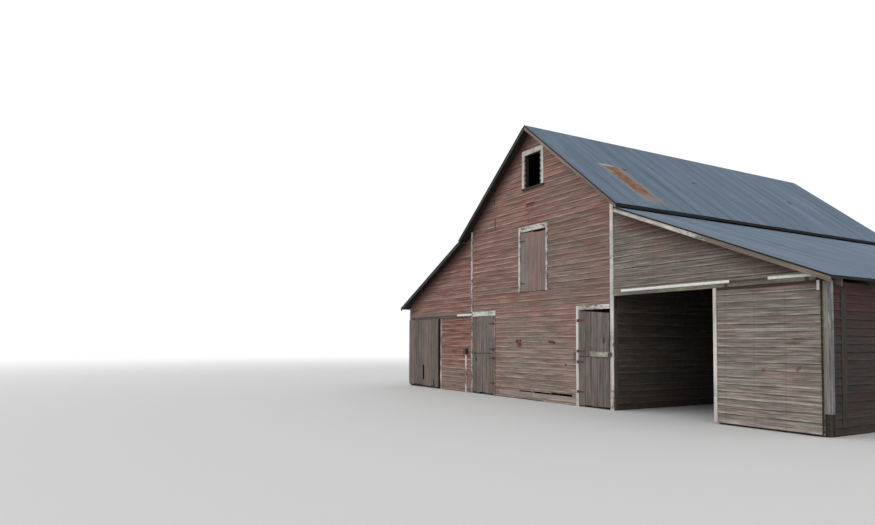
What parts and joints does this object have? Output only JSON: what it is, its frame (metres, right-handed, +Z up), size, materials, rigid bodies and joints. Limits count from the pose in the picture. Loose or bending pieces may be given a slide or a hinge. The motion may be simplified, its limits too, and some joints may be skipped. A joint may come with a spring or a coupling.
{
  "type": "barn",
  "caption": "Gabled timber barn with a lean-to on each side, lap siding, steel roofs, split swing doors and sliding doors on tracks.",
  "frame": {"origin": "on the ground, under the middle of the roofs' outline", "axes": "+X to the right along the front, +Y from the front gable to the back, +Z up"},
  "size_m": [15.65, 12.76, 7.6253],
  "materials": {
    "red_siding": "old red paint worn to bare grey wood",
    "weathered_siding": "bare weathered boards with traces of red paint",
    "grey_timber": "rough sawn, aged grey",
    "galvanised_sheet": "aged galvanised steel sheet, rust in places",
    "grey_trim": "worn paint over grey wood",
    "white_trim": "flaking white paint",
    "plank_grey": "rough weathered planks",
    "plank_pink": "weathered planks with faded red stain",
    "track_paint": "worn pale green paint",
    "white_cover": "white paint",
    "rail_steel": "dull rusted steel",
    "red_iron": "iron, painted red and faded",
    "box_enamel": "dark grey enamel"
  },
  "bodies": {
    "barn": {"front_wall_middle": "red_siding", "front_gable_wall": "red_siding", "front_posts": "grey_timber", "left_front_wall": "red_siding", "left_front_upper_wall": "red_siding", "right_front_wall": "weathered_siding", "right_front_upper_wall": "weathered_siding", "left_side_wall": "red_siding", "right_side_wall": "red_siding", "back_gable_wall": "red_siding", "back_lean_walls": "red_siding", "main_side_wall": "weathered_siding", "row_posts": "grey_timber", "row_beam": "grey_timber", "knee_braces": "grey_timber", "tie_beams": "grey_timber", "main_rafters": "grey_timber", "ridge_board": "grey_timber", "left_rafters": "grey_timber", "right_rafters": "grey_timber", "main_roof_left": "galvanised_sheet", "main_roof_right": "galvanised_sheet", "ridge_cap": "galvanised_sheet", "left_lean_roof": "galvanised_sheet", "right_lean_roof": "galvanised_sheet", "left_rake_boards": "grey_trim", "right_rake_boards": "grey_trim", "main_corner_boards": "white_trim", "end_corner_boards": "grey_trim", "door_casings": "white_trim", "hay_door_casing": "white_trim", "hay_door": "plank_pink", "window_casing": "white_trim", "bay_casing": "grey_trim", "skirt_boards": "weathered_siding", "upright_boards": "grey_trim", "outlet_box": "box_enamel", "left_track_board": "track_paint", "left_rail": "rail_steel", "right_track_board": "track_paint", "right_rail": "rail_steel", "rail_covers": "white_cover", "hinge_pins": "red_iron"},
    "left_upper_leaf": {"left_door_upper": "plank_grey"},
    "left_lower_leaf": {"left_door_lower": "plank_grey"},
    "right_upper_leaf": {"right_door_upper": "plank_grey", "latch_bar": "grey_trim"},
    "right_lower_leaf": {"right_door_lower": "plank_grey"},
    "left_slider": {"left_sliding_door": "plank_grey", "left_hangers": "rail_steel"},
    "right_slider": {"right_sliding_door": "weathered_siding", "right_hangers": "rail_steel"}
  },
  "joints": [
    {"name": "left_upper_swing", "type": "hinge", "parent": "barn", "child": "left_upper_leaf", "pos_m": [-2.239, -6.145, 1.83], "axis": [0, 0, 1], "range_deg": [0, 165]},
    {"name": "left_lower_swing", "type": "hinge", "parent": "barn", "child": "left_lower_leaf", "pos_m": [-2.239, -6.145, 0.64], "axis": [0, 0, 1], "range_deg": [0, 165]},
    {"name": "right_upper_swing", "type": "hinge", "parent": "barn", "child": "right_upper_leaf", "pos_m": [1.469, -6.145, 1.83], "axis": [0, 0, -1], "range_deg": [0, 165]},
    {"name": "right_lower_swing", "type": "hinge", "parent": "barn", "child": "right_lower_leaf", "pos_m": [1.469, -6.145, 0.64], "axis": [0, 0, -1], "range_deg": [0, 165]},
    {"name": "left_slide", "type": "slide", "parent": "barn", "child": "left_slider", "axis": [1, 0, 0], "range_m": [0, 1.5]},
    {"name": "right_slide", "type": "slide", "parent": "barn", "child": "right_slider", "axis": [-1, 0, 0], "range_m": [0, 2.66]}
  ]
}
